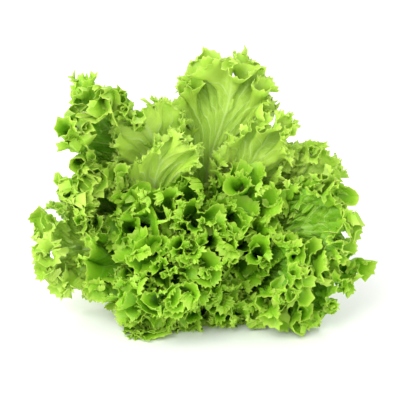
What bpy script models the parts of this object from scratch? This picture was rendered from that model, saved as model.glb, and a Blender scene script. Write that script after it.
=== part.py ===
"""Head of green leaf lettuce, lying on its side: a short stem and its separate frilled leaves.

Run it with: blender --background --python part.py

The leaves are laid out round the head's own axis, which runs from the cut butt to the crown. Every leaf
has a layer, a bowl-shaped surface round that axis. The bowls are nested and never cross, so a leaf can wave
as far as its layer is deep and still stay clear of the next one. The whole head is then swayed gently and
pressed down on the surface that it lies on. Metres, +Z up, crown towards -Y, and the origin is on that
surface, under the middle of the head's box.
"""

import math
from dataclasses import dataclass

import bmesh
import bpy
import numpy as np
from mathutils import Matrix

# The head as a whole
HEAD_LAYERS = 8  # nested bowls, 0 round the growing tip and 7 outermost
AXIS_RISE = math.radians(26.5)  # the crown end lies higher than the butt
BUTT_Y = 0.072
OPENING = math.radians(66)  # how far the outermost bowl leans away from the axis
FLOOR_DROP = 0.26  # slope at which the lowest leaves run down to the surface
FLOOR_SOFTNESS = 0.10  # how gradually the bowls bend away from the surface, in radians
LEAN_AT_BASE = 0.66  # share of a bowl's lean that it has where it leaves the stem
BOWL_REACH = 0.17  # length over which a bowl gets the rest of its lean
BOWL_FILL = 0.84  # share of a layer's depth that a leaf's waves may take

# The stem
STEM_LENGTH = 0.046  # from the lowest leaf scar to the growing tip
STEM_RADIUS = 0.0165
STEM_TIP_RADIUS = 0.0025
BUTT_LENGTH = 0.011  # below the lowest leaf scar
BUTT_RIM = (0.9, 0.96)  # where its rim is bevelled from: shares of the butt's length and of the radius
BUTT_FACE = 0.88  # the cut face's share of the radius
STEM_SIDES = 20
SCAR_GAP = 0.0006  # from the stem's skin to the foot of a leaf

# The leaves
BASE_HALF_WIDTH = 0.0060  # at the foot
NECK_HALF_WIDTH = 0.0090  # where the margin starts
EDGE_THICKNESS = 0.0008
RIB_THICKNESS = 0.0030  # at the foot of an outermost leaf
HEART_RIB_THICKNESS = 0.0013
RIB_FADE = 0.030  # length over which a rib thins towards the edge's thickness
WIDEST_AT = 0.60  # share of a leaf's length at which it is widest
WAIST = 1.25  # over 1, the blade narrows to its foot in a wedge
FRILL_DEPTH = 0.020  # distance from the edge over which the waves die out
WAVE_OVERHANG = 0.10  # sideways swing of a wave, as a share of its length
FRILL_STARTS = (0.10, 0.38)  # shares of the length between which the waves come in
FLARE_STARTS = (0.62, 0.95)  # the same for the deeper waves at the free end of a long leaf
COLUMNS_PER_WAVE = 1  # at the foot, and four times as many along the edge
GRID_ROWS = (0.0, 0.28, 0.52, 0.72, 0.87, 1.0)  # shares of the way from foot to edge
DOUBLED_FROM = (2, 4)  # the rows from which the columns are doubled, once for each number

# What the head went through
SWAY = 0.0062  # furthest that a leaf is swayed out of its bowl
SWAY_FROM, SWAY_TO = 0.020, 0.085  # distances from the stem between which the sway comes in
LAYER_FILM = 0.0016  # height that one layer takes where the head's weight presses it flat

# Centre of the lowest leaf scar: the rim of the butt touches the surface
BUTT_POINT = np.array(
    (
        0.0,
        BUTT_Y,
        BUTT_RIM[0] * BUTT_LENGTH * math.sin(AXIS_RISE)
        + BUTT_RIM[1] * STEM_RADIUS * math.cos(AXIS_RISE),
    )
)

SEED = 41


@dataclass(frozen=True)
class LeafPlan:
    """Where one leaf grows and how it is shaped."""

    name: str
    layer: int
    clock: float  # degrees round the axis from the right, anticlockwise from in front
    spread: float  # most degrees that it covers either side of its middle
    length: float
    width: float
    waves: int = 8  # whole waves of its edge
    veer: float = 0.0  # degrees that its tip swings round the axis
    flare: float = 0.0  # how much deeper its waves are at its free end, as a share


OUTER_LEAVES = (
    LeafPlan("outer_leaf_top", 7, 77, 21, 0.188, 0.128, 8, 0, 0.4),
    LeafPlan("outer_leaf_upper_left", 7, 123, 13, 0.191, 0.085, 8, 0, 0.4),
    LeafPlan("outer_leaf_left", 7, 174, 24, 0.147, 0.120, 8, 2, 0.3),
    LeafPlan("outer_leaf_under_left", 7, 245, 10, 0.122, 0.076, 6, 0),
    LeafPlan("outer_leaf_under", 7, 271, 14, 0.104, 0.090, 6, 0),
    LeafPlan("outer_leaf_lower_right", 7, 301, 15, 0.102, 0.090, 6, 0),
    LeafPlan("outer_leaf_right", 7, -10, 22, 0.165, 0.125, 8, -3, 0.3),
    LeafPlan("outer_leaf_upper_right", 7, 30, 16, 0.172, 0.100, 8, -2, 0.3),
    LeafPlan("second_leaf_right", 6, 55, 17, 0.174, 0.095, 8, -3, 0.2),
    LeafPlan("second_leaf_top", 6, 105, 21, 0.163, 0.095, 6, 4, 0.3),
    LeafPlan("second_leaf_upper_left", 6, 147, 16, 0.150, 0.100, 8, 0),
    LeafPlan("second_leaf_lower_left", 6, 197, 19, 0.096, 0.095, 6, 0),
    LeafPlan("second_leaf_under", 6, 254, 25, 0.104, 0.100, 6, 0),
    LeafPlan("second_leaf_lower_right", 6, 313, 24, 0.112, 0.100, 6, 0),
    LeafPlan("second_leaf_front_right", 6, 10, 22, 0.176, 0.125, 8, 0, 0.2),
)
MIDDLE_LEAVES = (
    LeafPlan("middle_leaf_top", 5, 122, 26, 0.134, 0.105, 8, -30),
    LeafPlan("middle_leaf_upper_right", 5, 42, 26, 0.130, 0.105, 8, 0),
    LeafPlan("middle_leaf_right", 5, -12, 24, 0.148, 0.112, 8, 0),
    LeafPlan("middle_leaf_lower_right", 5, 292, 26, 0.110, 0.105, 6, 0),
    LeafPlan("middle_leaf_lower_left", 5, 238, 25, 0.104, 0.105, 6, 0),
    LeafPlan("middle_leaf_left", 5, 182, 26, 0.124, 0.110, 8, 0),
    LeafPlan("front_leaf_top", 4, 72, 32, 0.098, 0.095, 6, 0),
    LeafPlan("front_leaf_right", 4, 4, 32, 0.122, 0.105, 8, 0),
    LeafPlan("front_leaf_lower_right", 4, 296, 32, 0.114, 0.105, 8, 0),
    LeafPlan("front_leaf_lower_left", 4, 224, 34, 0.112, 0.110, 8, 0),
    LeafPlan("front_leaf_left", 4, 150, 34, 0.110, 0.100, 8, 0),
)


@dataclass(frozen=True)
class WhorlPlan:
    """A ring of leaves of one kind in the middle of the crown."""

    kind: str
    layers: tuple[int, ...]  # neighbours take turns, because they overlap
    count: int
    clock: float
    spread: float
    length: float
    width: float
    waves: int
    droop: float  # how much shorter the leaves at the top are


WHORLS = (
    WhorlPlan("inner", (3, 2), 6, 22.0, 56.0, 0.120, 0.098, 8, 0.016),
    WhorlPlan("heart", (1, 0), 4, 60.0, 84.0, 0.112, 0.075, 6, 0.006),
)


def whorl_leaves(whorl):
    """The plans of one ring of leaves, evenly spaced with a little seeded scatter."""
    scatter = np.random.default_rng(SEED + whorl.count)
    plans = []
    for index in range(whorl.count):
        clock = whorl.clock + 360.0 / whorl.count * index + scatter.uniform(-4, 4)
        layer = whorl.layers[index % len(whorl.layers)]
        size = 1 - 0.06 * (max(whorl.layers) - layer)
        length = (whorl.length - whorl.droop * math.sin(math.radians(clock))) * size
        plans.append(
            LeafPlan(
                f"{whorl.kind}_leaf_{index + 1:02d}",
                layer,
                clock,
                whorl.spread,
                length,
                whorl.width * size,
                whorl.waves,
                scatter.uniform(-6, 6),
            )
        )
    return plans


def leaf_plans():
    """Every leaf of the head, from the outside in."""
    return [*OUTER_LEAVES, *MIDDLE_LEAVES, *(plan for whorl in WHORLS for plan in whorl_leaves(whorl))]


def ramp(value, low, high):
    """0 below low, 1 above high, and an even S between them."""
    share = np.clip((value - low) / (high - low), 0.0, 1.0)
    return share * share * (3 - 2 * share)


def bowl_lean(clock):
    """How far the outermost bowl leans from the axis at an angle round it, which is less over the surface."""
    rise, fall = math.sin(AXIS_RISE), -np.sin(clock) * math.cos(AXIS_RISE)
    fall = np.maximum(fall, 1e-3)
    reach = np.hypot(rise, fall)
    floor_lean = np.arccos(-np.minimum(FLOOR_DROP / reach, 1.0)) - np.arctan2(fall, rise)
    return -FLOOR_SOFTNESS * np.log(
        np.exp(-OPENING / FLOOR_SOFTNESS) + np.exp(-floor_lean / FLOOR_SOFTNESS)
    )


def stem_radius(height):
    """The stem's radius at a height above the lowest leaf scar, down to a blunt tip."""
    share = np.clip(height / STEM_LENGTH, 0.0, 1.0)
    return STEM_TIP_RADIUS + (STEM_RADIUS - STEM_TIP_RADIUS) * (1 - share**1.3)


def rib_thickness(depth):
    """Thickness of a leaf's foot, which is more on the outer leaves."""
    return HEART_RIB_THICKNESS + (RIB_THICKNESS - HEART_RIB_THICKNESS) * depth


def bowl_place(clock, along, depth):
    """Distance from the axis, and height above the lowest leaf scar, of a place on a bowl.

    depth is 0 for the innermost bowl and 1 for the outermost. A bowl's section is an arc of a circle.
    """
    lean = bowl_lean(clock) * depth
    start = LEAN_AT_BASE * lean
    bend = np.maximum((1 - LEAN_AT_BASE) * lean / BOWL_REACH, 1e-4)
    end = start + bend * along
    foot = STEM_LENGTH * np.maximum(1 - depth, 0.0) ** 0.9
    radius = stem_radius(foot) + SCAR_GAP + rib_thickness(depth) / 2
    return (
        radius + (np.cos(start) - np.cos(end)) / bend,
        foot + (np.sin(end) - np.sin(start)) / bend,
    )


def in_world(clock, radius, height):
    """A place in the head as a point in the world: the axis runs towards -Y and a little up."""
    across, rising = radius * np.cos(clock), radius * np.sin(clock)
    slope, level = math.sin(AXIS_RISE), math.cos(AXIS_RISE)
    return BUTT_POINT + np.stack(
        (across, rising * slope - height * level, rising * level + height * slope), axis=-1
    )


def swayed(points, along):
    """The points moved by a smooth field of long waves, which leaves nothing crossing."""
    share = ramp(along, SWAY_FROM, SWAY_TO)
    x, y, z = points[:, 0], points[:, 1], points[:, 2]
    field = np.stack(
        (
            np.sin(52 * y + 31 * z + 0.4) + 0.5 * np.sin(71 * z - 38 * x + 2.1),
            np.sin(47 * x - 29 * z + 1.3) + 0.5 * np.sin(66 * x + 40 * y + 0.2),
            np.sin(49 * x + 36 * y + 2.6) + 0.5 * np.sin(63 * y - 45 * x + 1.1),
        ),
        axis=-1,
    )
    return points + SWAY * share[:, None] * field / 1.5


def pressed(points, layer):
    """The points with none lower than their layer can be pressed, each layer on the one outside it."""
    flat = EDGE_THICKNESS / 2 + LAYER_FILM * (HEAD_LAYERS - 1 - layer)
    moved = points.copy()
    moved[:, 2] = np.maximum(moved[:, 2], flat)
    return moved


def edge_point(plan, across):
    """The flat leaf's edge: distance across and along, at -1 to 1 from one foot corner round to the other."""
    half = plan.width / 2
    last = math.pi - math.asin((NECK_HALF_WIDTH / half) ** (1 / WAIST))
    turn = across * last
    below = np.abs(turn) > math.pi / 2
    wide = np.abs(np.sin(turn))
    side = np.sign(turn) * half * np.where(below, wide**WAIST, wide)
    widest = WIDEST_AT * plan.length
    top = widest + (plan.length - widest) * np.cos(turn)
    bottom = widest * (1 + np.cos(turn))
    return side, np.where(below, bottom, top)


def edge_tangent(plan, across):
    """The direction in which the flat leaf's edge runs, as a share across and a share along."""
    step = 1e-3
    ahead_side, ahead_along = edge_point(plan, np.minimum(across + step, 1.0))
    back_side, back_along = edge_point(plan, np.maximum(across - step, -1.0))
    run = np.hypot(ahead_side - back_side, ahead_along - back_along)
    return (ahead_side - back_side) / run, (ahead_along - back_along) / run


def half_width(plan, along):
    """The flat leaf's half width at a distance along it, which is never less than its neck's."""
    widest = WIDEST_AT * plan.length
    beyond = np.clip((along - widest) / (plan.length - widest), 0.0, 1.0)
    short = np.clip(1 - along / widest, 0.0, 1.0)
    share = np.where(along > widest, np.sqrt(1 - beyond**2), np.sqrt(1 - short**2) ** WAIST)
    return np.maximum(plan.width / 2 * share, NECK_HALF_WIDTH)


def leaf_points(plan, outward, across):
    """The middle of the blade in the world, for arrays of grid places, and the distance along the leaf.

    outward is 0 at the foot and 1 at the edge, and across is -1 to 1 from one side to the other.
    """
    edge_side, edge_along = edge_point(plan, across)
    foot_side = BASE_HALF_WIDTH * across
    from_edge = np.hypot(edge_side - foot_side, edge_along) * (1 - outward)
    start, full = FRILL_STARTS
    strength = np.exp(-((from_edge / FRILL_DEPTH) ** 1.2))
    strength = strength * ramp(edge_along / plan.length * outward, start, full)
    drift = 0.35 * np.sin(2.3 * math.pi * across + plan.clock)
    phase = math.pi * plan.waves * across + drift + math.radians(plan.clock * 3)
    swing = -WAVE_OVERHANG * 2.6 * plan.length / plan.waves * strength * np.sin(2 * phase)
    tangent_side, tangent_along = edge_tangent(plan, across)
    side = foot_side + (edge_side - foot_side) * outward + swing * tangent_side
    along = np.maximum(edge_along * outward + swing * tangent_along, 0.0)

    middle = math.radians(plan.clock) + math.radians(plan.veer) * (along / plan.length) ** 2
    limit = math.radians(plan.spread)
    radius, _ = bowl_place(middle, along, (plan.layer + 0.5) / HEAD_LAYERS)
    half = half_width(plan, along)
    clock = middle + side / half * limit * np.tanh(half / (radius * limit))
    free = 1 + plan.flare * ramp(along / plan.length, *FLARE_STARTS)
    wave = 0.5 * BOWL_FILL * strength * free * np.sin(phase)
    depth = (plan.layer + 0.5 + wave) / HEAD_LAYERS
    points = in_world(clock, *bowl_place(clock, along, depth))
    return pressed(swayed(points, along), plan.layer), along


def leaf_net(columns):
    """A flat net of triangles, x across and y outward, with more columns towards the edge."""
    net = bmesh.new()
    last = len(GRID_ROWS) - 1
    bmesh.ops.create_grid(net, x_segments=columns, y_segments=last, size=1.0)
    for vertex in net.verts:
        vertex.co.y = GRID_ROWS[round((vertex.co.y + 1) / 2 * last)]
    for first_row in DOUBLED_FROM:
        start = GRID_ROWS[first_row] - 1e-4
        crossing = [
            edge
            for edge in net.edges
            if abs(edge.verts[0].co.y - edge.verts[1].co.y) < 1e-5 and edge.verts[0].co.y > start
        ]
        bmesh.ops.subdivide_edges(net, edges=crossing, cuts=1, use_grid_fill=True)
    bmesh.ops.triangulate(net, faces=net.faces[:])
    return net


def add_object(name, mesh, material):
    """Links a finished mesh to the scene as one sub-part."""
    made = bpy.data.objects.new(name, mesh)
    bpy.context.scene.collection.objects.link(made)
    mesh.materials.append(material)
    return made


def blade_faces(net, count):
    """The faces of a blade from its net: one side, the other side turned over, and the rim between them."""
    faces = [tuple(vertex.index for vertex in face.verts) for face in net.faces]
    faces += [(c + count, b + count, a + count) for a, b, c in faces]
    for edge in net.edges:
        if edge.is_boundary:
            loop = edge.link_loops[0]
            a, b = loop.vert.index, loop.link_loop_next.vert.index
            faces += [(b, a, a + count), (b, a + count, b + count)]
    return faces


def build_leaf(plan, material):
    """One leaf: its net laid in the head, and the blade's two faces set half a thickness either side."""
    net = leaf_net(plan.waves * COLUMNS_PER_WAVE)
    across = np.array([vertex.co.x for vertex in net.verts])
    outward = np.array([vertex.co.y for vertex in net.verts])
    points, along = leaf_points(plan, outward, across)
    for vertex, point in zip(net.verts, points):
        vertex.co = point
    net.normal_update()
    normals = np.array([vertex.normal for vertex in net.verts])
    faces = blade_faces(net, len(points))
    net.free()
    rib = np.exp(-((across / 0.5) ** 2) - along / RIB_FADE)
    foot = rib_thickness(plan.layer / HEAD_LAYERS)
    half = (EDGE_THICKNESS + (foot - EDGE_THICKNESS) * rib)[:, None] / 2 * normals
    both = np.concatenate((points + half, points - half))
    both[:, 2] = np.where(both[:, 2] < 0.3 * EDGE_THICKNESS, 0.0, both[:, 2])
    mesh = bpy.data.meshes.new(plan.name)
    mesh.from_pydata([tuple(point) for point in both], [], faces)
    mesh.shade_smooth()
    mesh.set_sharp_from_angle(angle=math.radians(60))
    return add_object(plan.name, mesh, material)


def build_stem(material):
    """The stem: a turned solid with a flat cut butt, tapering to a blunt growing tip."""
    along, wide = BUTT_RIM
    heights = [-BUTT_LENGTH, -BUTT_LENGTH * along, 0.0, *np.linspace(0.2, 1.0, 5) * STEM_LENGTH]
    radii = [STEM_RADIUS * BUTT_FACE, STEM_RADIUS * wide, *map(stem_radius, heights[2:])]
    turns = np.arange(STEM_SIDES) * 2 * math.pi / STEM_SIDES
    stem = bmesh.new()
    rings = [
        [stem.verts.new(point) for point in in_world(turns, radius, height)]
        for height, radius in zip(heights, radii)
    ]
    for ring, following in zip(rings, rings[1:]):
        for index in range(STEM_SIDES):
            ahead = (index + 1) % STEM_SIDES
            stem.faces.new((ring[index], ring[ahead], following[ahead], following[index]))
    stem.faces.new(rings[0])
    stem.faces.new(rings[-1])
    bmesh.ops.recalc_face_normals(stem, faces=stem.faces[:])
    mesh = bpy.data.meshes.new("stem")
    stem.to_mesh(mesh)
    stem.free()
    mesh.shade_smooth()
    mesh.set_sharp_from_angle(angle=math.radians(40))
    return add_object("stem", mesh, material)


def plain_material(name, colour, roughness):
    """A Principled material of one colour."""
    material = bpy.data.materials.new(name)
    material.use_nodes = True
    shader = material.node_tree.nodes["Principled BSDF"]
    shader.inputs["Base Color"].default_value = (*colour, 1.0)
    shader.inputs["Roughness"].default_value = roughness
    shader.inputs["Metallic"].default_value = 0.0
    material.diffuse_color = (*colour, 1.0)
    return material


def put_origin_under(pieces):
    """Moves every piece so that the origin is on the surface, under the middle of their common box."""
    places = np.array([vertex.co for piece in pieces for vertex in piece.data.vertices])
    middle = (places.min(axis=0) + places.max(axis=0)) / 2
    for piece in pieces:
        piece.data.transform(Matrix.Translation((-middle[0], -middle[1], 0.0)))


def main():
    """Clears the scene and builds the head."""
    for old in list(bpy.data.objects):
        bpy.data.objects.remove(old)
    leaf_green = plain_material("leaf_green", (0.22, 0.45, 0.03), 0.45)
    heart_green = plain_material("heart_green", (0.32, 0.55, 0.06), 0.45)
    stem_white = plain_material("stem_white", (0.62, 0.68, 0.40), 0.5)
    pieces = [build_stem(stem_white)]
    for plan in leaf_plans():
        pieces.append(build_leaf(plan, leaf_green if plan.layer > 3 else heart_green))
    put_origin_under(pieces)


main()
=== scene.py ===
"""Head of green leaf lettuce, dressed: frilled, toothed and veined leaves round a short cut stem.

The leaves are laid out round the head's own axis, which runs from the cut butt to the crown. Every leaf has
a layer, a bowl-shaped surface round that axis, and the bowls are nested. A leaf's margin has grown longer
than its blade, so it ruffles: large waves carry smaller ones, down to the teeth.
Metres, +Z up, crown towards -Y, and the origin is on the surface that the head lies on.
"""

import logging
import math
from dataclasses import dataclass, field, replace
from enum import Enum

import bmesh
import bpy
import numpy as np
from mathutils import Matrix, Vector


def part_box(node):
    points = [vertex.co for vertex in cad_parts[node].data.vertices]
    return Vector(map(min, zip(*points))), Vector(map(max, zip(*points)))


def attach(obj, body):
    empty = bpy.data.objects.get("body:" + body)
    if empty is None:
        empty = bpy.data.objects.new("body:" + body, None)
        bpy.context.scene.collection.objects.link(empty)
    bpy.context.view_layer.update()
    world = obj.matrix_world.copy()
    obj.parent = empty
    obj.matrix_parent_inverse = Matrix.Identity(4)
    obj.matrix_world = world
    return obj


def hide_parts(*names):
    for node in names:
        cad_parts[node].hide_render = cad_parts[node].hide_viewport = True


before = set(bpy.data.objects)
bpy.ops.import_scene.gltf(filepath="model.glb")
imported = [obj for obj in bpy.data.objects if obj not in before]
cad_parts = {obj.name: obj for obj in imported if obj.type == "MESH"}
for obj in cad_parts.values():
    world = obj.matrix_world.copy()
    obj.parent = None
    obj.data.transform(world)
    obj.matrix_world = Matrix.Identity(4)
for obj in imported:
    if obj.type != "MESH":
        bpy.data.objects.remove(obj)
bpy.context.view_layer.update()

logging.basicConfig(level=logging.INFO, format="%(message)s")
LOG = logging.getLogger("lettuce")

MM = 0.001
SEED = 41
TINY = 1e-12  # keeps a direction finite where it has no length
Array = np.ndarray
Pair = tuple[float, float]
Triple = tuple[float, float, float]
Flat = tuple[Array, Array, Array]  # distances across a flat leaf, along it and from its margin
Tree = bpy.types.NodeTree
Socket = bpy.types.NodeSocket
Material = bpy.types.Material
Piece = bpy.types.Object
Mesh = bpy.types.Mesh

# Settings that several nodes share
TIMES = {"operation": "MULTIPLY"}
TIMES_PLUS = {"operation": "MULTIPLY_ADD"}
EASED = {"interpolation_type": "SMOOTHSTEP"}
EVEN = {"interpolation_type": "LINEAR"}
COLOURS = {"data_type": "RGBA"}


def linear(hex_colour: str) -> tuple[float, float, float, float]:
    """Turns an sRGB colour to linear.

    Args:
        hex_colour: the colour, as #RRGGBB.

    Returns:
        Linear red, green, blue and alpha.
    """
    parts = [int(hex_colour[start : start + 2], 16) / 255 for start in (1, 3, 5)]
    red, green, blue = (p / 12.92 if p <= 0.04045 else ((p + 0.055) / 1.055) ** 2.4 for p in parts)
    return red, green, blue, 1.0


def add_node(tree: Tree, kind: str, settings: dict | None = None, **links: object) -> bpy.types.Node:
    """Adds a node with its settings and links.

    Args:
        tree: the node tree that it goes into.
        kind: the node's type, without the leading ShaderNode.
        settings: properties of the node by name.
        **links: values or output sockets for its inputs, by the input's name or, as in_0, by its number.

    Returns:
        The new node.
    """
    node = tree.nodes.new("ShaderNode" + kind)
    for name, value in (settings or {}).items():
        setattr(node, name, value)
    for name, value in links.items():
        key = int(name[3:]) if name.startswith("in_") else name.replace("_", " ")
        socket = node.inputs[key]
        if isinstance(value, Socket):
            tree.links.new(value, socket)
        else:
            socket.default_value = value
    return node


def ramp(value: Array, low: float, high: float) -> Array:
    """0 below low, 1 above high, and an even S between them."""
    share = np.clip((value - low) / (high - low), 0.0, 1.0)
    return share * share * (3 - 2 * share)


def unit(vectors: Array) -> Array:
    """The vectors, one a row, at length 1."""
    return vectors / (np.linalg.norm(vectors, axis=1, keepdims=True) + TINY)


def points_of(mesh: Mesh) -> Array:
    """Reads a mesh's points.

    Args:
        mesh: the mesh.

    Returns:
        The points, one row each.
    """
    flat = np.empty(len(mesh.vertices) * 3, dtype=np.float32)
    mesh.vertices.foreach_get("co", flat)
    return flat.reshape(-1, 3)


class Drift:
    """A smooth random line over -1 to 1, from a few sines of seeded pitch and phase."""

    SINES = 5
    WAVES = (1.5, 6.0)  # fewest and most over the whole line

    def __init__(self, seed: int) -> None:
        """Draws the sines.

        Args:
            seed: the number that the draw starts from.
        """
        draw = np.random.default_rng(seed)
        self.pitches = np.linspace(*self.WAVES, self.SINES) * draw.uniform(0.85, 1.15, self.SINES)
        self.phases = draw.uniform(0, 2 * math.pi, self.SINES)
        self.sizes = draw.uniform(0.6, 1.0, self.SINES)
        self.sizes /= math.sqrt((self.sizes**2).sum() / 2)

    def __call__(self, across: Array) -> Array:
        """The line at places from -1 to 1: mean 0 and spread 1."""
        turns = math.pi * self.pitches[:, None] * across[None, :] + self.phases[:, None]
        return (self.sizes[:, None] * np.sin(turns)).sum(axis=0)


@dataclass(frozen=True)
class Head:
    """The form that all the leaves follow: nested bowls round a slanting axis, on a level surface."""

    layers: int = 8
    axis_rise: float = math.radians(26.5)  # the crown end lies higher than the butt
    opening: float = math.radians(66)  # of the outermost bowl, from the axis
    floor_drop: float = 0.26  # how steeply the lowest leaves run down to the surface
    floor_softness: float = 0.10
    lean_at_base: float = 0.66  # share of a leaf's lean that its foot has
    bowl_reach: float = 0.17
    stem_length: float = 0.046
    stem_radius: float = 0.0165
    stem_tip_radius: float = 0.0025
    stem_taper: float = 1.3
    foot_spacing: float = 0.9
    butt_length: float = 0.011  # below the lowest leaf scar
    butt_rim: Pair = (0.9, 0.96)  # shares of the butt's length and of the radius
    butt_face: float = 0.88  # the cut face's share of the radius
    butt_sides: int = 20
    scar_gap: float = 0.0006
    rib_thickness: float = 0.0030
    heart_rib_thickness: float = 0.0013
    sway: float = 0.0062
    sway_from: float = 0.020
    sway_to: float = 0.085
    film: float = 0.0016  # height of each layer over the one outside it, where both lie flat
    film_softness: float = 1.2 * MM
    rebound: float = 0.006  # the most that a pressed frill springs back
    rebound_share: float = 0.5
    butt_point: Triple = (0.0, 0.072, 0.0)  # centre of the lowest leaf scar; on_stem sets its height
    shift: Pair = (0.0, 0.0)

    @classmethod
    def on_stem(cls, low: tuple[float, ...], high: tuple[float, ...]) -> "Head":
        """Places the head so that its butt fills the solid stem's box.

        Args:
            low: the box's least corner.
            high: the box's greatest corner.

        Returns:
            The head in its place.
        """
        plain = cls()
        along, radius = plain.butt_rim
        rim = along * plain.butt_length * math.sin(plain.axis_rise)
        rim += radius * plain.stem_radius * math.cos(plain.axis_rise)
        raised = replace(plain, butt_point=(*plain.butt_point[:2], rim))
        turns = np.linspace(0, 2 * math.pi, plain.butt_sides, endpoint=False)
        reach = np.full(plain.butt_sides, plain.stem_radius * plain.butt_face)
        face = raised.in_world(turns, reach, np.full(plain.butt_sides, -plain.butt_length))
        return replace(raised, shift=(float((low[0] + high[0]) / 2), float(high[1] - face[:, 1].max())))

    def lean(self, clock: Array) -> Array:
        """How far the outermost bowl leans from the axis, which is less over the surface.

        Args:
            clock: angle round the axis, in radians.

        Returns:
            The lean there, in radians.
        """
        rise, fall = math.sin(self.axis_rise), -np.sin(clock) * math.cos(self.axis_rise)
        fall = np.maximum(fall, 1e-3)
        reach = np.hypot(rise, fall)
        over_floor = np.arccos(-np.minimum(self.floor_drop / reach, 1.0)) - np.arctan2(fall, rise)
        soft = self.floor_softness
        return -soft * np.log(np.exp(-self.opening / soft) + np.exp(-over_floor / soft))

    def radius_of_stem(self, height: Array) -> Array:
        """The stem's radius at a height above the lowest leaf scar."""
        share = np.clip(height / self.stem_length, 0.0, 1.0)
        return self.stem_tip_radius + (self.stem_radius - self.stem_tip_radius) * (1 - share**self.stem_taper)

    def foot_thickness(self, depth: Array) -> Array:
        """Thickness of a leaf's foot, which is more on the outer leaves."""
        return self.heart_rib_thickness + (self.rib_thickness - self.heart_rib_thickness) * depth

    def place(self, clock: Array, along: Array, depth: Array) -> tuple[Array, Array]:
        """Distance from the axis and height above the lowest scar.

        Args:
            clock: angle round the axis, in radians.
            along: distance from the foot, in metres.
            depth: 0 for the innermost bowl and 1 for the outermost.

        Returns:
            The radius and the height, in metres.
        """
        lean = self.lean(clock) * depth
        start = self.lean_at_base * lean
        bend = np.maximum((1 - self.lean_at_base) * lean / self.bowl_reach, 1e-4)
        end = start + bend * along
        foot = self.stem_length * np.maximum(1 - depth, 0.0) ** self.foot_spacing
        radius = self.radius_of_stem(foot) + self.scar_gap + self.foot_thickness(depth) / 2
        return radius + (np.cos(start) - np.cos(end)) / bend, foot + (np.sin(end) - np.sin(start)) / bend

    def in_world(self, clock: Array, radius: Array, height: Array) -> Array:
        """A place in the head as a point in the world, before it is swayed.

        Args:
            clock: angle round the axis, in radians.
            radius: distance from the axis.
            height: distance above the lowest scar.

        Returns:
            The points, one row each.
        """
        across, rising = radius * np.cos(clock), radius * np.sin(clock)
        slope, level = math.sin(self.axis_rise), math.cos(self.axis_rise)
        return np.array(self.butt_point) + np.stack(
            (across, rising * slope - height * level, rising * level + height * slope), axis=-1
        )

    def swayed(self, points: Array, along: Array) -> Array:
        """The points moved by a smooth field of long waves, the same one as in the solids.

        Args:
            points: the points to move.
            along: each one's distance from its leaf's foot.

        Returns:
            The moved points.
        """
        share = ramp(along, self.sway_from, self.sway_to)
        x, y, z = points[:, 0], points[:, 1], points[:, 2]
        sway = np.stack(
            (
                np.sin(52 * y + 31 * z + 0.4) + 0.5 * np.sin(71 * z - 38 * x + 2.1),
                np.sin(47 * x - 29 * z + 1.3) + 0.5 * np.sin(66 * x + 40 * y + 0.2),
                np.sin(49 * x + 36 * y + 2.6) + 0.5 * np.sin(63 * y - 45 * x + 1.1),
            ),
            axis=-1,
        )
        return points + self.sway * share[:, None] * sway / 1.5

    def settled(self, points: Array, layer: int, skin: float, frill: Array) -> Array:
        """The points lifted gently off the surface, each layer resting on the one outside it.

        Args:
            points: the leaf as it would grow without the surface.
            layer: the leaf's layer.
            skin: the least height of its middle face.
            frill: 1 at the margin, where what is pressed up stays wavy, and 0 well inside.

        Returns:
            The points as they lie.
        """
        flat = skin + self.film * (self.layers - 1 - layer)
        soft = self.film_softness
        above = (points[:, 2] - flat) / soft
        lifted = points.copy()
        lifted[:, 2] = flat + soft * np.logaddexp(0.0, above) - soft * math.log(2) * np.exp(-np.abs(above))
        lifted[:, 2] = np.maximum(lifted[:, 2], flat)
        pressed = np.maximum(-soft * above, 0.0)
        lifted[:, 2] += frill * self.rebound * np.tanh(self.rebound_share * pressed / self.rebound)
        lifted[:, :2] += self.shift
        return lifted


class Blade(Enum):
    """How a leaf's blade has grown: the ruffles that its margin carries."""

    FRILLED = "frilled"  # deep cups all round
    BROAD = "broad"  # a wide frill round a large leaf
    COLUMN = "column"  # a narrow leaf that its frills cover
    FAN = "fan"  # an open blade with a deep frill round its end
    SMOOTH = "smooth"  # a broad open blade with a narrow frill
    HEART = "heart"  # small and tight


@dataclass(frozen=True)
class Ruffle:
    """One generation of waves on a leaf's margin, which turn the blade more and more towards the margin."""

    length: float  # of one wave, along the margin as it was before it
    turn: float  # the angle at the margin, in radians
    reach: float  # distance from the margin over which the angle falls to a third
    overhang: float  # sideways swing, as a share of their length
    uneven: float  # how much the angle varies, as a share
    most: float = 2.2  # the largest angle, in radians

    def bend(self, angle: Array) -> tuple[Array, Array]:
        """How far the blade goes sideways and falls back where it is turned, while it keeps its length.

        These are the series of sine and of 1 less cosine, summed up over an angle that dies away inwards.

        Args:
            angle: the angle there, in radians, with its sign.

        Returns:
            The distance along the blade's normal, and the distance back from the margin, in metres.
        """
        angle = np.clip(angle, -self.most, self.most)
        rise = angle - angle**3 / 18 + angle**5 / 600
        retreat = angle**2 / 4 - angle**4 / 96 + angle**6 / 4320
        return self.reach * rise, self.reach * retreat


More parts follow.
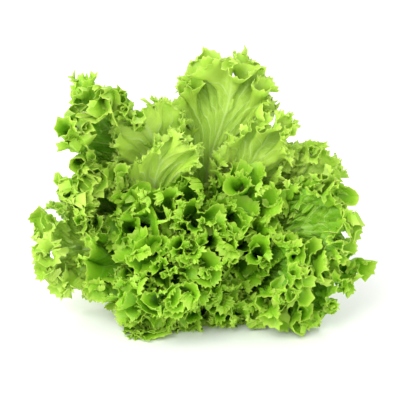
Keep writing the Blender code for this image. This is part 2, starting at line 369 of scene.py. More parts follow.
RUFFLES = {
    Blade.FRILLED: (
        Ruffle(28 * MM, 1.25, 13 * MM, 0.08, 0.45),
        Ruffle(10 * MM, 0.85, 4.8 * MM, 0.09, 0.40),
        Ruffle(4.2 * MM, 0.45, 2.0 * MM, 0.07, 0.45),
    ),
    Blade.BROAD: (
        Ruffle(15 * MM, 1.15, 9 * MM, 0.08, 0.35),
        Ruffle(6.4 * MM, 1.10, 5.4 * MM, 0.09, 0.30),
        Ruffle(3.4 * MM, 0.60, 2.2 * MM, 0.07, 0.45),
    ),
    Blade.COLUMN: (
        Ruffle(13 * MM, 1.05, 10 * MM, 0.08, 0.30),
        Ruffle(6 * MM, 1.10, 5.6 * MM, 0.09, 0.25),
        Ruffle(3.0 * MM, 0.80, 2.4 * MM, 0.07, 0.45),
    ),
    Blade.FAN: (
        Ruffle(17 * MM, 1.10, 12.0 * MM, 0.08, 0.45),
        Ruffle(7.6 * MM, 1.05, 5.8 * MM, 0.09, 0.40),
        Ruffle(3.4 * MM, 0.80, 2.4 * MM, 0.07, 0.45),
    ),
    Blade.SMOOTH: (
        Ruffle(18 * MM, 0.90, 6 * MM, 0.09, 0.45),
        Ruffle(7.5 * MM, 0.95, 3.4 * MM, 0.09, 0.45),
        Ruffle(3.4 * MM, 0.60, 1.8 * MM, 0.07, 0.45),
    ),
    Blade.HEART: (
        Ruffle(17 * MM, 1.05, 6.5 * MM, 0.09, 0.40),
        Ruffle(7.4 * MM, 0.75, 3.0 * MM, 0.09, 0.45),
        Ruffle(3.4 * MM, 0.40, 1.5 * MM, 0.06, 0.45),
    ),
}

# Radians by which each side of a blade curls inwards
ROLLS = {Blade.COLUMN: 1.7, Blade.BROAD: 0.7}

# Depth of a blade's blisters
CRINKLES = {
    Blade.COLUMN: 4.5 * MM,
    Blade.BROAD: 4.2 * MM,
    Blade.FRILLED: 1.4 * MM,
    Blade.FAN: 0.8 * MM,
    Blade.SMOOTH: 0.3 * MM,
    Blade.HEART: 0.3 * MM,
}


class Tone(Enum):
    """How green a leaf's skin is, partly its own green and partly painted light and shade.

    The paler tones lighten leaves that lie in shade, and the deeper ones darken the middle of the crown.
    """

    BLEACHED = "bleached_leaf_skin"
    PALE = "pale_leaf_skin"
    LIGHT = "light_leaf_skin"
    FRESH = "fresh_leaf_skin"
    GREEN = "green_leaf_skin"
    HEART = "heart_leaf_skin"


@dataclass(frozen=True)
class LeafPlan:
    """Where one leaf grows and how it is shaped. The numbers down to its flare are also the solid leaf's."""

    name: str
    layer: int  # 0 for the innermost bowl
    clock: float  # degrees round the axis, from the right
    spread: float  # degrees to each side
    length: float
    width: float
    waves: int = 8  # large ones round the margin
    veer: float = 0.0  # degrees by which its tip turns aside
    flare: float = 0.0  # how much larger its waves grow at the tip, as a share
    blade: Blade = Blade.FRILLED
    tone: Tone = Tone.GREEN
    lobe: float = 0.0  # how much further one part of its margin reaches, as a share
    lobe_at: float = 0.0  # where that is, at -1 to 1 along the margin


# Each leaf's tone is partly painted light and shade: paler on leaves in shade, deeper in the crown
OUTER_LEAVES = (
    LeafPlan("outer_leaf_top", 7, 77, 21, 0.188, 0.128, 8, 0, 0.4, Blade.FAN, Tone.PALE, 0.035),
    LeafPlan("outer_leaf_upper_left", 7, 123, 13, 0.191, 0.085, 8, 0, 0.4, Blade.COLUMN, Tone.LIGHT, 0.03),
    LeafPlan("outer_leaf_left", 7, 174, 24, 0.147, 0.120, 8, 2, 0.3, Blade.BROAD, Tone.BLEACHED, 0.08, -0.35),
    LeafPlan("outer_leaf_under_left", 7, 245, 10, 0.122, 0.076, 6, tone=Tone.FRESH),
    LeafPlan("outer_leaf_under", 7, 271, 14, 0.104, 0.090, 6, tone=Tone.FRESH),
    LeafPlan("outer_leaf_lower_right", 7, 301, 15, 0.102, 0.090, 6, tone=Tone.FRESH),
    LeafPlan("outer_leaf_right", 7, -10, 22, 0.165, 0.125, 8, -3, 0.3, Blade.BROAD, Tone.FRESH),
    LeafPlan("outer_leaf_upper_right", 7, 30, 16, 0.172, 0.100, 8, -2, 0.3, Blade.BROAD, Tone.BLEACHED),
    LeafPlan("second_leaf_right", 6, 55, 17, 0.174, 0.095, 8, -3, 0.2, Blade.SMOOTH, Tone.PALE),
    LeafPlan("second_leaf_top", 6, 105, 21, 0.163, 0.095, 6, 4, 0.3, Blade.SMOOTH, Tone.BLEACHED),
    LeafPlan("second_leaf_upper_left", 6, 147, 16, 0.150, 0.100, 8, 0, 0.0, Blade.COLUMN, Tone.LIGHT),
    LeafPlan("second_leaf_lower_left", 6, 197, 19, 0.096, 0.095, 6, 0, 0.0, Blade.BROAD, Tone.BLEACHED),
    LeafPlan("second_leaf_under", 6, 254, 25, 0.104, 0.100, 6, tone=Tone.FRESH),
    LeafPlan("second_leaf_lower_right", 6, 313, 24, 0.112, 0.100, 6, tone=Tone.FRESH),
    LeafPlan("second_leaf_front_right", 6, 10, 22, 0.176, 0.125, 8, 0, 0.2, Blade.BROAD, Tone.LIGHT),
)
MIDDLE_LEAVES = (
    LeafPlan("middle_leaf_top", 5, 122, 26, 0.134, 0.105, 8, -30, 0.0, Blade.SMOOTH, Tone.BLEACHED),
    LeafPlan("middle_leaf_upper_right", 5, 42, 26, 0.130, 0.105, 8, tone=Tone.FRESH),
    LeafPlan("middle_leaf_right", 5, -12, 24, 0.148, 0.112, 8, 0, 0.0, Blade.BROAD, Tone.FRESH),
    LeafPlan("middle_leaf_lower_right", 5, 292, 26, 0.110, 0.105, 6),
    LeafPlan("middle_leaf_lower_left", 5, 238, 25, 0.104, 0.105, 6, tone=Tone.FRESH),
    LeafPlan("middle_leaf_left", 5, 182, 26, 0.124, 0.110, 8, tone=Tone.FRESH),
    LeafPlan("front_leaf_top", 4, 72, 32, 0.098, 0.095, 6),
    LeafPlan("front_leaf_right", 4, 4, 32, 0.122, 0.105),
    LeafPlan("front_leaf_lower_right", 4, 296, 32, 0.114, 0.105),
    LeafPlan("front_leaf_lower_left", 4, 224, 34, 0.112, 0.110),
    LeafPlan("front_leaf_left", 4, 150, 34, 0.110, 0.100),
)


@dataclass(frozen=True)
class WhorlPlan:
    """A ring of leaves of one kind in the middle of the crown."""

    kind: str
    layers: tuple[int, ...]
    count: int
    clock: float
    spread: float
    length: float
    width: float
    waves: int
    droop: float
    blade: Blade
    shrink: float = 0.06  # how much smaller a leaf is for each layer further in, as a share
    scatter: float = 4.0  # degrees round the axis, either way
    veer: float = 6.0  # degrees that a tip turns aside, either way

    def leaves(self) -> list[LeafPlan]:
        """Spaces the ring's leaves evenly, with a little seeded scatter.

        Returns:
            A plan for each leaf.
        """
        draw = np.random.default_rng(SEED + self.count)
        plans = []
        for index in range(self.count):
            clock = self.clock + 360.0 / self.count * index + draw.uniform(-self.scatter, self.scatter)
            layer = self.layers[index % len(self.layers)]
            size = 1 - self.shrink * (max(self.layers) - layer)
            length = (self.length - self.droop * math.sin(math.radians(clock))) * size
            name, veer = f"{self.kind}_leaf_{index + 1:02d}", draw.uniform(-self.veer, self.veer)
            sizes = (self.spread, length, self.width * size, self.waves, veer)
            # The heart tone is a deep green, partly painted shade for the middle of the crown
            plans.append(LeafPlan(name, layer, clock, *sizes, blade=self.blade, tone=Tone.HEART))
        return plans


WHORLS = (
    WhorlPlan("inner", (3, 2), 6, 22.0, 56.0, 0.120, 0.098, 8, 0.016, Blade.FRILLED),
    WhorlPlan("heart", (1, 0), 4, 60.0, 84.0, 0.112, 0.075, 6, 0.006, Blade.HEART),
)


@dataclass
class Leaf:
    """One leaf: a net of faces laid in the head, ruffled along its margin, and given its thickness.

    The flat leaf is measured across, -1 to 1 from one foot corner round the margin to the other, and outward,
    0 at the foot and 1 at the margin. Pairs that are named starts are where something sets in and is full, as
    shares of the leaf's length.
    """

    plan: LeafPlan
    head: Head
    number: int
    base_half_width: float = 6.0 * MM
    neck_half_width: float = 9.0 * MM
    widest_at: float = 0.60
    waist: float = 1.25
    lobe_width: float = 0.11
    # The large waves, which the solids have too
    wave_depth: float = 20 * MM
    wave_fall: float = 1.2
    wave_overhang: float = 0.10
    margin_lengths: float = 2.6  # the margin's run, in leaf lengths
    wave_drift: float = 0.35
    drift_pitch: float = 2.3
    bowl_fill: float = 0.84
    wave_starts: Pair = (0.10, 0.38)
    flare_starts: Pair = (0.62, 0.95)
    roll_starts: Pair = (0.30, 0.75)
    roll_layers: float = 1.7
    # The ruffles, pleats and blisters
    step: float = 6e-4  # across or outward, from which a direction is taken
    ruffle_drift: float = 0.9
    ruffle_sizes: Pair = (0.15, 1.7)
    ruffle_starts: Pair = (0.06, 0.30)
    relief_starts: Pair = (0.10, 0.40)
    pleat: float = 0.8 * MM
    pleat_pitch: float = 19 * MM
    pleat_slant: float = 1.5
    pleat_from: Pair = (3 * MM, 25 * MM)  # from the margin
    blister: float = 2.0 * MM
    blister_from: float = 9 * MM
    frill_reach: float = 9 * MM
    frill_starts: Pair = (0.2, 0.5)
    # The teeth
    tooth: float = 2.7 * MM
    tooth_widths: Pair = (0.6, 1.5)
    tooth_lengths: Pair = (0.5, 1.3)
    tooth_lean: float = 1.0
    tooth_point: float = 1.2
    tooth_starts: Pair = (0.05, 0.25)
    # The thickness
    thickness: float = 0.5 * MM
    rim_thickness: float = 0.25 * MM
    rim_reach: float = 3 * MM
    rib_half_width: float = 5 * MM
    rib_reach: float = 0.45
    lowest: float = 0.6  # its middle face's least height, as a share of the thickness
    thickness_steps: int = 20
    sharpest: float = math.radians(50)  # that is still shaded as a smooth bend
    drifts: list[Drift] = field(default_factory=list)
    margin_length: float = 0.0

    def __post_init__(self) -> None:
        """Draws the lines that make this leaf's ruffles its own."""
        self.drifts = [Drift(SEED * 1000 + self.number * 10 + index) for index in range(6)]
        side, along = self.margin(np.linspace(-1.0, 1.0, 200))
        self.margin_length = float(np.hypot(np.diff(side), np.diff(along)).sum())

    def margin(self, across: Array) -> tuple[Array, Array]:
        """The flat leaf's margin.

        Args:
            across: places along it.

        Returns:
            Distance across the leaf and distance along it from the foot.
        """
        half = self.plan.width / 2
        last = math.pi - math.asin((self.neck_half_width / half) ** (1 / self.waist))
        turn = across * last
        below = np.abs(turn) > math.pi / 2
        wide = np.abs(np.sin(turn))
        side = np.sign(turn) * half * np.where(below, wide**self.waist, wide)
        widest = self.widest_at * self.plan.length
        top = widest + (self.plan.length - widest) * np.cos(turn)
        along = np.where(below, widest * (1 + np.cos(turn)), top)
        grown = 1 + self.plan.lobe * np.exp(-(((across - self.plan.lobe_at) / self.lobe_width) ** 2))
        return side * grown, along * grown

    def margin_run(self, across: Array) -> tuple[Array, Array]:
        """The direction in which the flat margin runs.

        Args:
            across: places along it.

        Returns:
            The direction's share across the leaf and its share along.
        """
        step = 1e-3
        ahead_side, ahead_along = self.margin(np.minimum(across + step, 1.0))
        back_side, back_along = self.margin(np.maximum(across - step, -1.0))
        run = np.hypot(ahead_side - back_side, ahead_along - back_along)
        return (ahead_side - back_side) / run, (ahead_along - back_along) / run

    def flat_place(self, across: Array, outward: Array) -> Flat:
        """Places on the flat leaf in metres.

        Args:
            across: places across the leaf.
            outward: places from foot to margin.

        Returns:
            Distance across, distance along from the foot, and distance from the margin.
        """
        side, along = self.margin(across)
        foot = self.base_half_width * across
        from_margin = np.hypot(side - foot, along) * (1 - outward)
        return foot + (side - foot) * outward, along * outward, from_margin

    def half_width(self, along: Array) -> Array:
        """The flat leaf's half width, which is never less than its neck's.

        Args:
            along: distance from the foot.

        Returns:
            The half width there.
        """
        widest = self.widest_at * self.plan.length
        beyond = np.clip((along - widest) / (self.plan.length - widest), 0.0, 1.0)
        short = np.clip(1 - along / widest, 0.0, 1.0)
        share = np.where(along > widest, np.sqrt(1 - beyond**2), np.sqrt(1 - short**2) ** self.waist)
        return np.maximum(self.plan.width / 2 * share, self.neck_half_width)

    def carrier(self, across: Array, outward: Array) -> Array:
        """The blade in the head with only its largest waves.

        Args:
            across: places across the leaf.
            outward: places from foot to margin.

        Returns:
            The points, one row each.
        """
        plan = self.plan
        side, along, from_margin = self.flat_place(across, outward)
        strength = np.exp(-((np.abs(from_margin) / self.wave_depth) ** self.wave_fall))
        strength = strength * ramp(along / plan.length, *self.wave_starts)
        drift = self.wave_drift * np.sin(self.drift_pitch * math.pi * across + plan.clock)
        phase = math.pi * plan.waves * across + drift + math.radians(plan.clock * 3)
        swing = -self.wave_overhang * self.margin_lengths * plan.length / plan.waves
        swing = swing * strength * np.sin(2 * phase)
        run_side, run_along = self.margin_run(across)
        side = side + swing * run_side
        along = np.maximum(along + swing * run_along, 0.0)
        middle = math.radians(plan.clock) + math.radians(plan.veer) * (along / plan.length) ** 2
        limit = math.radians(plan.spread)
        layers = self.head.layers
        radius, _ = self.head.place(middle, along, (plan.layer + 0.5) / layers)
        half = self.half_width(along)
        # Never 0, because the roll's sine is divided by
        roll = ROLLS.get(plan.blade, 0.0) * ramp(along / plan.length, *self.roll_starts) + 1e-3
        share = side / half
        rolled = np.sin(roll * share) / np.sin(np.minimum(roll, math.pi / 2))
        clock = middle + rolled * limit * np.tanh(half / (radius * limit))
        free = 1 + plan.flare * ramp(along / plan.length, *self.flare_starts)
        wave = 0.5 * self.bowl_fill * strength * free * np.sin(phase)
        curled = self.roll_layers * (1 - np.cos(roll * share)) / 2
        depth = (plan.layer + 0.5 + wave - curled) / layers
        return self.head.swayed(self.head.in_world(clock, *self.head.place(clock, along, depth)), along)

    def relief(self, flat: Flat) -> Array:
        """The blade's pleats between its side veins, and its blisters.

        Args:
            flat: the flat leaf's places.

        Returns:
            The height of the relief.
        """
        side, along, from_margin = flat
        grown = ramp(along / self.plan.length, *self.relief_starts)
        slanted = along - self.pleat_slant * np.sqrt(side**2 + (3 * MM) ** 2)
        pleats = self.pleat * np.cos(2 * math.pi * slanted / self.pleat_pitch)
        blisters = np.sin(side / self.blister + 2 * np.sin(along / self.blister / 2.3 + self.number))
        blisters *= np.sin(along / self.blister * 1.1 + 2 * np.sin(side / self.blister / 2.7))
        pleats = pleats * (ramp(from_margin, *self.pleat_from) * grown)
        depth = CRINKLES[self.plan.blade]
        return pleats + depth * blisters * (ramp(from_margin, 0.0, self.blister_from) * grown)

    def ruffled(self, across: Array, outward: Array, generations: int = 3) -> Array:
        """The blade with its largest waves and some of the smaller ones.

        Args:
            across: places across the leaf.
            outward: places from foot to margin.
            generations: how many of the smaller ruffles it carries.

        Returns:
            The points, one row each.
        """
        if generations == 0:
            return self.carrier(across, outward)
        here = self.ruffled(across, outward, generations - 1)
        run = unit(self.ruffled(across + self.step, outward, generations - 1) - here)
        out = unit(here - self.ruffled(across, outward - self.step, generations - 1))
        face = unit(np.cross(run, out))
        ruffle = RUFFLES[self.plan.blade][generations - 1]
        flat = self.flat_place(across, outward)
        _, along, from_margin = flat
        count = self.margin_length / ruffle.length
        drift, sizes = self.drifts[2 * generations - 2], self.drifts[2 * generations - 1]
        phase = math.pi * count * across + self.ruffle_drift * generations * drift(across)
        size = np.clip(1 + ruffle.uneven * sizes(across), *self.ruffle_sizes)
        strength = np.exp(-np.abs(from_margin) / ruffle.reach) * size
        strength = strength * ramp(along / self.plan.length, *self.ruffle_starts)
        rise, retreat = ruffle.bend(ruffle.turn * strength * np.sin(phase))
        retreat -= ruffle.bend(ruffle.turn * strength)[1] / 2
        swing = -ruffle.overhang * ruffle.length * strength * np.sin(2 * phase)
        if generations == 1:
            rise = rise + self.relief(flat)
        return here + face * rise[:, None] + run * swing[:, None] - out * retreat[:, None]

    def build(self, net: Mesh, skin: Material) -> Piece:
        """Lays the net, thickens it and dresses it.

        Args:
            net: the flat net of faces, x across and y outward.
            skin: the finish.

        Returns:
            The finished leaf.
        """
        mesh = net.copy()
        mesh.name = self.plan.name
        across, outward, _ = points_of(mesh).astype(float).T
        points = self.cut_teeth(self.ruffled(across, outward), across, outward)
        flat = self.flat_place(across, outward)
        _, along, from_margin = flat
        frill = np.exp(-np.abs(from_margin) / self.frill_reach)
        frill = frill * ramp(along / self.plan.length, *self.frill_starts)
        points = self.head.settled(points, self.plan.layer, self.lowest * self.thickness, frill)
        mesh.vertices.foreach_set("co", points.astype(np.float32).ravel())
        self.mark(mesh, flat)
        piece = bpy.data.objects.new(self.plan.name + "_blade", mesh)
        bpy.context.scene.collection.objects.link(piece)
        self.thicken(piece, flat)
        piece.data.materials.append(skin)
        return piece

    def cut_teeth(self, points: Array, across: Array, outward: Array) -> Array:
        """Draws the margin out into teeth of uneven width, length and lean.

        Args:
            points: the ruffled blade.
            across: places across the leaf.
            outward: places from foot to margin.

        Returns:
            The blade with its teeth.
        """
        margin = np.nonzero(outward > 0.999)[0]
        margin = margin[np.argsort(across[margin])]
        out = unit(points[margin] - self.ruffled(across[margin], outward[margin] - 4e-3))
        steps = np.linalg.norm(np.diff(points[margin], axis=0), axis=1)
        run = np.concatenate(([0.0], np.cumsum(steps)))
        draw = np.random.default_rng(SEED * 77 + self.number)
        face = unit(np.cross(np.gradient(points[margin], axis=0), out))
        size, lean = np.zeros(len(margin)), np.zeros(len(margin))
        start = 0
        while start < len(margin) - 1:
            width = self.tooth * draw.uniform(*self.tooth_widths)
            stop = min(max(int(np.searchsorted(run, run[start] + width)), start + 2), len(margin) - 1)
            share = (run[start : stop + 1] - run[start]) / (run[stop] - run[start])
            peak = (1 - np.abs(2 * share - 1)) ** self.tooth_point
            size[start : stop + 1] = self.tooth * draw.uniform(*self.tooth_lengths) * peak
            lean[start : stop + 1] = draw.uniform(-self.tooth_lean, self.tooth_lean)
            start = stop
        _, along, _ = self.flat_place(across[margin], outward[margin])
        size *= ramp(along / self.plan.length, *self.tooth_starts)
        cut = points.copy()
        cut[margin] += (out + face * lean[:, None]) * size[:, None]
        return cut

    def mark(self, mesh: Mesh, flat: Flat) -> None:
        """Stores the flat leaf's own places, which the finish reads.

        Args:
            mesh: the leaf's mesh.
            flat: its vertices' places, in metres.
        """
        side, along, from_margin = flat
        corners = np.empty(len(mesh.loops), dtype=np.int32)
        mesh.loops.foreach_get("vertex_index", corners)
        layer = mesh.uv_layers.new(name="blade")
        places = np.stack((side[corners], along[corners]), axis=-1)
        layer.data.foreach_set("uv", places.astype(np.float32).ravel())
        rim = mesh.attributes.new("from_margin", "FLOAT", "POINT")
        rim.data.foreach_set("value", from_margin.astype(np.float32))

    def thicken(self, piece: Piece, flat: Flat) -> None:
        """Gives the blade its thickness: a fleshy rib from the foot, and a thin margin.

        Args:
            piece: the leaf as a sheet of faces.
            flat: its vertices' places, in metres.
        """
        side, along, from_margin = flat
        thick = piece.vertex_groups.new(name="thick")
        foot = self.head.foot_thickness(self.plan.layer / self.head.layers)
        rib = np.exp(-((side / self.rib_half_width) ** 2) - along / (self.rib_reach * self.plan.length))
        thin = (self.thickness - self.rim_thickness) * np.exp(-from_margin / self.rim_reach)
        share = np.clip((self.thickness - thin + (foot - self.thickness) * rib) / foot, 0.0, 1.0)
        levels = np.round(share * self.thickness_steps)
        for level in range(self.thickness_steps + 1):
            chosen = np.nonzero(levels == level)[0]
            if len(chosen):
                thick.add(chosen.tolist(), level / self.thickness_steps, "REPLACE")
        bpy.ops.object.select_all(action="DESELECT")
        piece.select_set(True)
        bpy.context.view_layer.objects.active = piece
        solid = piece.modifiers.new("thickness", "SOLIDIFY")
        solid.thickness = foot
        solid.offset = 0.0
        solid.use_even_offset = False
        solid.vertex_group = "thick"
        bpy.ops.object.modifier_apply(modifier=solid.name)
        bpy.ops.object.shade_smooth_by_angle(angle=self.sharpest)
        # What the thickness has pushed below the surface is pressed flat on it
        points = points_of(piece.data)
        points[:, 2] = np.maximum(points[:, 2], 0.0)
        piece.data.vertices.foreach_set("co", points.ravel())


@dataclass(frozen=True)
class LeafNet:
    """A flat net of faces for a leaf, with twice as many columns at each step towards the margin."""

    columns: int
    rows: tuple[float, ...]
    doubled_from: tuple[int, ...]

    def build(self) -> Mesh:
        """Adds a grid and subdivides its crosswise edges from each step outward.

        Returns:
            The net, x across and y outward.
        """
        last = len(self.rows) - 1
        bpy.ops.mesh.primitive_grid_add(x_subdivisions=self.columns, y_subdivisions=last, size=2.0)
        grid = bpy.context.object
        for vertex in grid.data.vertices:
            vertex.co.y = self.rows[round((vertex.co.y + 1) / 2 * last)]
        bpy.ops.object.mode_set(mode="EDIT")
        bpy.ops.mesh.select_mode(type="EDGE")
        for first_row in self.doubled_from:
            start = self.rows[first_row] - 1e-4
            bpy.ops.mesh.select_all(action="DESELECT")
            net = bmesh.from_edit_mesh(grid.data)
            for edge in net.edges:
                one, other = edge.verts
                if abs(one.co.y - other.co.y) < 1e-5 and one.co.y > start:
                    edge.select = True
            bmesh.update_edit_mesh(grid.data)
            bpy.ops.mesh.subdivide(number_cuts=1, ngon=False)
        bpy.ops.object.mode_set(mode="OBJECT")
        mesh = grid.data
        bpy.data.objects.remove(grid)
        return mesh


# Where the rows of faces lie, closer together towards the margin
FOLDED_ROWS = (
    0.0, 0.14, 0.27, 0.38, 0.48, 0.57, 0.65, 0.72, 0.78, 0.83, 0.87, 0.902, 0.928, 0.95, 0.97, 0.986, 1.0,
)
OPEN_ROWS = (
    0.0, 0.10, 0.18, 0.25, 0.31, 0.37, 0.42, 0.47, 0.52, 0.57, 0.61, 0.65, 0.69, 0.725, 0.76, 0.79, 0.82,
    0.85, 0.875, 0.90, 0.92, 0.94, 0.957, 0.972, 0.986, 1.0,
)
OPEN_NET = LeafNet(44, OPEN_ROWS, (2, 8, 15, 20, 24))
FOLDED_NETS = {
    Blade.HEART: LeafNet(28, FOLDED_ROWS, (2, 6, 10, 13, 15)),
    Blade.FRILLED: LeafNet(38, FOLDED_ROWS, (2, 6, 10, 13, 15)),
}


@dataclass(frozen=True)
class LeafSkin:
    """Living lettuce leaf: a thin waxy skin grown over wet green flesh, with pale veins and a paler margin.

    The wax gives the eye a soft satin shine with no sharp highlight. Light enters the thin blade and comes
    out yellower, so the frills glow. Their throats are darkened with painted shade, a deeper green away from
    the margin. The veins are paler and stand proud.
    """

    tone: Tone
    blade: str
    deep: str
    painted_throat_shade: str
    fresh: str
    vein: str
    rim: str
    shade: float  # how strong the painted shade in the throats gets, a deeper green away from the margin
    foot_reach: float  # how far the white foot runs up the leaf
    foot: str = "#DCE8B4"
    roughness: float = 0.48
    shine: float = 0.25  # the skin's specular level
    glow: float = 0.35  # how much light comes back out of the flesh
    glow_depth: float = 1.5 * MM
    glow_tint: Triple = (0.8, 1.0, 0.25)
    patch_size: float = 26.3158 * MM  # of uneven deeper green
    relief_height: float = 0.6 * MM
    wobble_size: float = 33.3333 * MM  # over which a vein bends one way
    wobble: float = 30 * MM
    vein_slant: float = 1.5
    veins_at: tuple[Pair, ...] = ((19 * MM, 0.90), (6.6 * MM, 0.74))  # apart, and how thin
    midrib: float = 2.8 * MM  # its half width
    net_size: float = 5.26316 * MM  # of the finest veins' net, across a cell

    def material(self) -> Material:
        """Builds the finish from the flat leaf's own places.

        Returns:
            The new material.
        """
        material = bpy.data.materials.new(self.tone.value)
        material.use_nodes = True
        tree = material.node_tree
        tree.nodes.clear()
        place = add_node(tree, "UVMap", {"uv_map": "blade"}).outputs["UV"]
        axes = add_node(tree, "SeparateXYZ", Vector=place)
        side, along = axes.outputs["X"], axes.outputs["Y"]
        margin = add_node(tree, "Attribute", {"attribute_name": "from_margin"}).outputs["Fac"]
        inner = add_node(tree, "MapRange", EASED, Value=margin, From_Min=4 * MM, From_Max=30 * MM).outputs[0]
        veins = self.veins(tree, place, side, along)
        shown = add_node(tree, "Math", {**TIMES, "use_clamp": True}, in_0=veins, in_1=inner).outputs[0]
        grown = add_node(tree, "TexCoord").outputs["Object"]
        patches = add_node(tree, "TexNoise", Vector=grown, Scale=1 / self.patch_size, Detail=3.0).outputs[0]
        colour = linear(self.deep)
        # Each colour over the last: what it follows, from where to where, its most, and how it comes in
        for tint, follows, none, full, most, way in (
            (self.blade, patches, 0.35, 0.68, 1.0, EASED),
            # Painted shade: a deeper green in the frills' throats, growing away from the margin
            (self.painted_throat_shade, margin, 3 * MM, 16 * MM, self.shade, EASED),
            (self.fresh, margin, 9 * MM, 0.0, 0.9, EASED),
            (self.vein, shown, 0.0, 1.0, 0.4, EVEN),
            (self.foot, along, self.foot_reach, 0.0, 1.0, EASED),
            (self.rim, margin, 1.6 * MM, 0.0, 0.4, EASED),
        ):
            limits = {"Value": follows, "From_Min": none, "From_Max": full, "To_Max": most}
            share = add_node(tree, "MapRange", way, **limits).outputs[0]
            colour = add_node(tree, "Mix", COLOURS, in_0=share, in_6=colour, in_7=linear(tint)).outputs[2]
        relief = add_node(tree, "Math", TIMES_PLUS, in_0=patches, in_1=0.6, in_2=veins).outputs[0]
        bump = add_node(tree, "Bump", Strength=0.35, Distance=self.relief_height, Height=relief).outputs[0]
        shader = add_node(tree, "BsdfPrincipled", Base_Color=colour, Normal=bump, Roughness=self.roughness)
        shader.inputs["Specular IOR Level"].default_value = self.shine
        shader.inputs["Subsurface Weight"].default_value = self.glow
        shader.inputs["Subsurface Scale"].default_value = self.glow_depth
        shader.inputs["Subsurface Radius"].default_value = self.glow_tint
        add_node(tree, "OutputMaterial", Surface=shader.outputs[0])
        return material

    def veins(self, tree: Tree, place: Socket, side: Socket, along: Socket) -> Socket:
        """A midrib, side veins that leave it on a slant, and a fine net between them.

        Args:
            tree: the finish's node tree.
            place: the flat leaf's place.
            side: distance across the leaf.
            along: distance from its foot.

        Returns:
            How much of a vein each point is.
        """
        bends = add_node(tree, "TexNoise", Vector=place, Scale=1 / self.wobble_size, Detail=2.0).outputs[0]
        apart = add_node(tree, "Math", {"operation": "ABSOLUTE"}, in_0=side).outputs[0]
        slanted = add_node(tree, "Math", TIMES_PLUS, in_0=apart, in_1=-self.vein_slant, in_2=along).outputs[0]
        bent = add_node(tree, "Math", TIMES_PLUS, in_0=bends, in_1=self.wobble, in_2=slanted).outputs[0]
        ribs = []
        for pitch, thinness in self.veins_at:
            turned = add_node(tree, "Math", TIMES, in_0=bent, in_1=2 * math.pi / pitch).outputs[0]
            wave = add_node(tree, "Math", {"operation": "SINE"}, in_0=turned).outputs[0]
            rib = add_node(tree, "MapRange", EASED, Value=wave, From_Min=thinness, From_Max=1.0)
            ribs.append(rib.outputs[0])
        both = add_node(tree, "Math", TIMES_PLUS, in_0=ribs[1], in_1=0.35, in_2=ribs[0]).outputs[0]
        midrib = add_node(tree, "MapRange", EASED, Value=apart, From_Min=self.midrib, From_Max=0.0).outputs[0]
        main = add_node(tree, "Math", {"operation": "MAXIMUM"}, in_0=both, in_1=midrib).outputs[0]
        cells = {"feature": "DISTANCE_TO_EDGE"}
        net = add_node(tree, "TexVoronoi", cells, Vector=place, Scale=1 / self.net_size).outputs[0]
        fine = add_node(tree, "MapRange", EASED, Value=net, From_Min=0.12, From_Max=0.0).outputs[0]
        return add_node(tree, "Math", TIMES_PLUS, in_0=fine, in_1=0.25, in_2=main).outputs[0]


# Each tone's blade, deeper patches, painted throat shade, margin band, veins, rim, shade strength, foot.
# The tones hold painted light and shade as well as the leaves' own green. The white foot runs shorter
# on the darker tones so that the middle of the crown stays dark.
SKINS = (
    LeafSkin(Tone.BLEACHED, "#BCDA5C", "#AACE46", "#AED04C", "#A8CE4A", "#D8EAAC", "#C2DC70", 0.25, 75 * MM),
    LeafSkin(Tone.PALE, "#A4C046", "#92B43A", "#90B23A", "#AED64A", "#C8E092", "#CCE078", 0.4, 75 * MM),
    LeafSkin(Tone.LIGHT, "#96C230", "#7CB01E", "#6AA016", "#A0CC3E", "#C0DE80", "#CCDE6E", 0.7, 65 * MM),
    LeafSkin(Tone.FRESH, "#86BC1E", "#6CA410", "#5C9A0C", "#98C832", "#B6DA6C", "#C6DC66", 0.75, 60 * MM),
    LeafSkin(Tone.GREEN, "#70AA10", "#4C8408", "#387404", "#88BE20", "#9CCC50", "#BEDA5C", 0.9, 42 * MM),
    LeafSkin(Tone.HEART, "#76AC14", "#52880A", "#3E7C06", "#8CC224", "#A4CC5A", "#C0DA5E", 0.9, 30 * MM),
)


@dataclass(frozen=True)
class StemFlesh:
    """Lettuce stem, grown thick and sliced across: moist pale flesh with whiter grains.

    It looks milky, and its moisture gives a soft shine.
    """

    name: str = "stem_flesh"
    flesh: str = "#C9D6A0"
    cut: str = "#E4E3C4"
    roughness: float = 0.5
    grain: float = 3.84615 * MM

    def material(self) -> Material:
        """Builds the finish.

        Returns:
            The new material.
        """
        material = bpy.data.materials.new(self.name)
        material.use_nodes = True
        tree = material.node_tree
        shader = tree.nodes["Principled BSDF"]
        grown = add_node(tree, "TexCoord").outputs["Object"]
        grains = add_node(tree, "TexNoise", Vector=grown, Scale=1 / self.grain, Detail=3.0).outputs["Fac"]
        colour = add_node(tree, "Mix", COLOURS, in_0=grains, in_6=linear(self.flesh), in_7=linear(self.cut))
        tree.links.new(colour.outputs[2], shader.inputs["Base Color"])
        shader.inputs["Roughness"].default_value = self.roughness
        return material


@dataclass(frozen=True)
class Stem:
    """The cut stem, whose solid is kept and dressed."""

    node: str = "stem"
    finish: StemFlesh = StemFlesh()

    def dress(self) -> None:
        """Gives the solid its finish."""
        materials = bpy.data.objects[self.node].data.materials
        materials.clear()
        materials.append(self.finish.material())


@dataclass(frozen=True)
class PaperSweep:
    """Uncoated background paper, rolled smooth: an even matt white that shows only soft shadows."""

    name: str = "white_sweep"
    white: float = 0.92
    roughness: float = 0.9

    def material(self) -> Material:
        """Builds the finish.

        Returns:
            The new material.
        """
        material = bpy.data.materials.new(self.name)
        material.use_nodes = True
        shader = material.node_tree.nodes["Principled BSDF"]
        shader.inputs["Base Color"].default_value = (self.white, self.white, self.white, 1)
        shader.inputs["Roughness"].default_value = self.roughness
        return material


@dataclass(frozen=True)
class Lamp:
    """A square soft light, aimed at the head."""

    name: str
    place: Triple
    size: float
    power: float  # watts


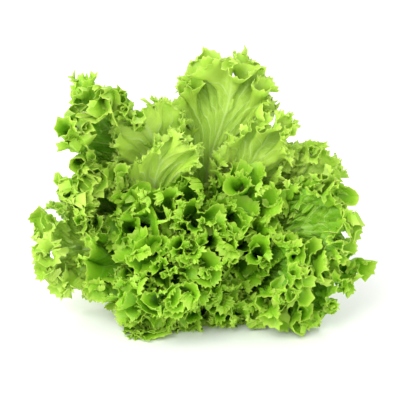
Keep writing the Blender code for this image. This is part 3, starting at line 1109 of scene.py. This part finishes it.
LAMPS = (
    Lamp("key", (-0.7, -1.25, 1.3), 1.4, 31.0),
    Lamp("left fill", (-1.4, -0.6, 0.4), 1.2, 10.0),
    Lamp("right fill", (1.3, -1.1, 0.5), 1.4, 10.0),
    Lamp("back", (0.3, 1.2, 1.3), 1.0, 10.0),
)


@dataclass
class Studio:
    """A white floor, soft light and the camera at the photograph's viewing angle."""

    floor_size: float = 8.0
    paper: PaperSweep = PaperSweep()
    aim: Triple = (0.0, 0.0, 0.08)
    surround: float = 0.75
    elevation: float = math.radians(20)
    distance: float = 1.5
    sensor: float = 36.0
    frame_pixels: float = 415.0
    # The head's sides and lowest point in the photograph, in pixels from its left and its top
    left: float = 27.0
    right: float = 378.0
    bottom: float = 341.0

    def floor(self) -> None:
        """Lays a wide pale floor."""
        bpy.ops.mesh.primitive_plane_add(size=self.floor_size, location=(0, 0, 0))
        floor = bpy.context.object
        floor.name = "floor"
        floor.data.materials.append(self.paper.material())

    def lights(self) -> None:
        """Hangs a large soft key above and in front, two fills, a light from behind, and a white surround."""
        for lamp in LAMPS:
            data = bpy.data.lights.new(lamp.name, "AREA")
            data.size = lamp.size
            data.energy = lamp.power
            light = bpy.data.objects.new(lamp.name, data)
            bpy.context.scene.collection.objects.link(light)
            light.location = lamp.place
            light.rotation_euler = (Vector(self.aim) - Vector(lamp.place)).to_track_quat("-Z", "Y").to_euler()
        world = bpy.data.worlds.new("surround")
        bpy.context.scene.world = world
        world.use_nodes = True
        back = world.node_tree.nodes["Background"]
        back.inputs["Color"].default_value = (1, 1, 1, 1)
        back.inputs["Strength"].default_value = self.surround

    def camera(self, pieces: list[Piece]) -> None:
        """Frames the head as the photograph does.

        Args:
            pieces: the leaves, whose outermost points set the frame.
        """
        cloud = np.concatenate([points_of(piece.data) for piece in pieces])
        centre = (cloud.min(axis=0) + cloud.max(axis=0)) / 2
        back = np.array((0.0, -math.cos(self.elevation), math.sin(self.elevation)))
        up = np.array((0.0, math.sin(self.elevation), math.cos(self.elevation)))
        eye = centre + back * self.distance
        offset = cloud - eye
        depth = -(offset @ back)
        x, y = offset[:, 0] / depth, offset @ up / depth
        scale = (self.right - self.left) / (x.max() - x.min())
        middle_x = self.left - x.min() * scale
        middle_y = self.bottom + y.min() * scale
        data = bpy.data.cameras.new("camera")
        data.sensor_width = self.sensor
        data.lens = self.sensor * scale / self.frame_pixels
        half = self.frame_pixels / 2
        data.shift_x = -(middle_x - half) / self.frame_pixels
        data.shift_y = (middle_y - half) / self.frame_pixels
        camera = bpy.data.objects.new("camera", data)
        bpy.context.scene.collection.objects.link(camera)
        camera.location = eye
        camera.rotation_euler = Vector(-back).to_track_quat("-Z", "Y").to_euler()
        bpy.context.scene.camera = camera
        bpy.context.scene.view_settings.view_transform = "Standard"


def main() -> None:
    """Builds the leaves, dresses the stem, and sets up the studio."""
    head = Head.on_stem(*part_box("stem"))
    skins = {skin.tone: skin.material() for skin in SKINS}
    nets = {net: net.build() for net in (*FOLDED_NETS.values(), OPEN_NET)}
    plans = [*OUTER_LEAVES, *MIDDLE_LEAVES, *(plan for whorl in WHORLS for plan in whorl.leaves())]
    pieces = []
    for number, plan in enumerate(plans):
        net = nets[FOLDED_NETS.get(plan.blade, OPEN_NET)]
        piece = Leaf(plan, head, number).build(net, skins[plan.tone])
        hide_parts(plan.name)
        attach(piece, "root")
        triangles = sum(len(face.vertices) - 2 for face in piece.data.polygons)
        LOG.info("%s: %s blade, %s, %d triangles", piece.name, plan.blade.value, plan.tone.value, triangles)
        pieces.append(piece)
    stem = Stem()
    stem.dress()
    LOG.info("%s: kept solid, %s", stem.node, stem.finish.name)
    studio = Studio()
    studio.floor()
    studio.lights()
    studio.camera(pieces)
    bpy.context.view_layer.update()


if __name__ == "__main__":
    main()
